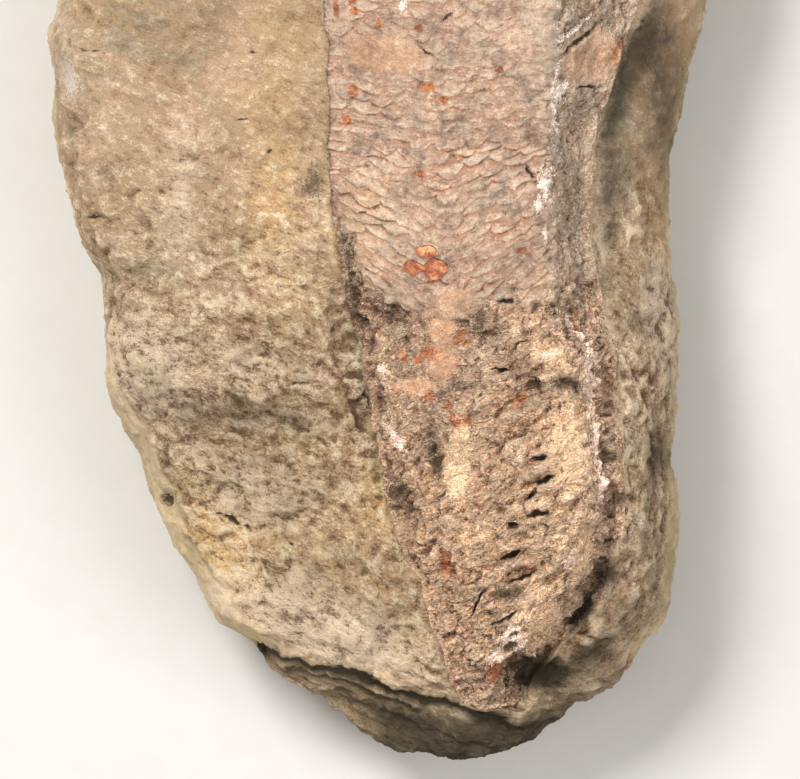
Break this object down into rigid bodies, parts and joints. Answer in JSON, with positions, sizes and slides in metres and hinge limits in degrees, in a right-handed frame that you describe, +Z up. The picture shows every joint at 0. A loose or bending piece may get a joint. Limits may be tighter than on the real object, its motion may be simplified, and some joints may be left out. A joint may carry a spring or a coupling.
{
  "type": "fossil fish in a stone nodule",
  "caption": "Fossil fish in relief on the face of an elongated limestone nodule, lying on the nodule's flat underside with the tail at one end and the head at the other.",
  "frame": {"origin": "middle of the flat underside that the nodule lies on", "axes": "+Z up, out of the face that the fish lies in; +Y along the fish towards its head; the tail points to -Y"},
  "size_m": [0.138, 0.2748, 0.0628],
  "materials": {
    "limestone": "matte, rough, tan to ochre limestone with grey weathered skin at the tail end",
    "fossil_bone": "matte, pinkish tan fossil scales and bone with orange-red scale patches and white chalky crests"
  },
  "bodies": {
    "root": {"stone_nodule": "limestone", "fossil_fish_body": "fossil_bone"}
  },
  "joints": []
}
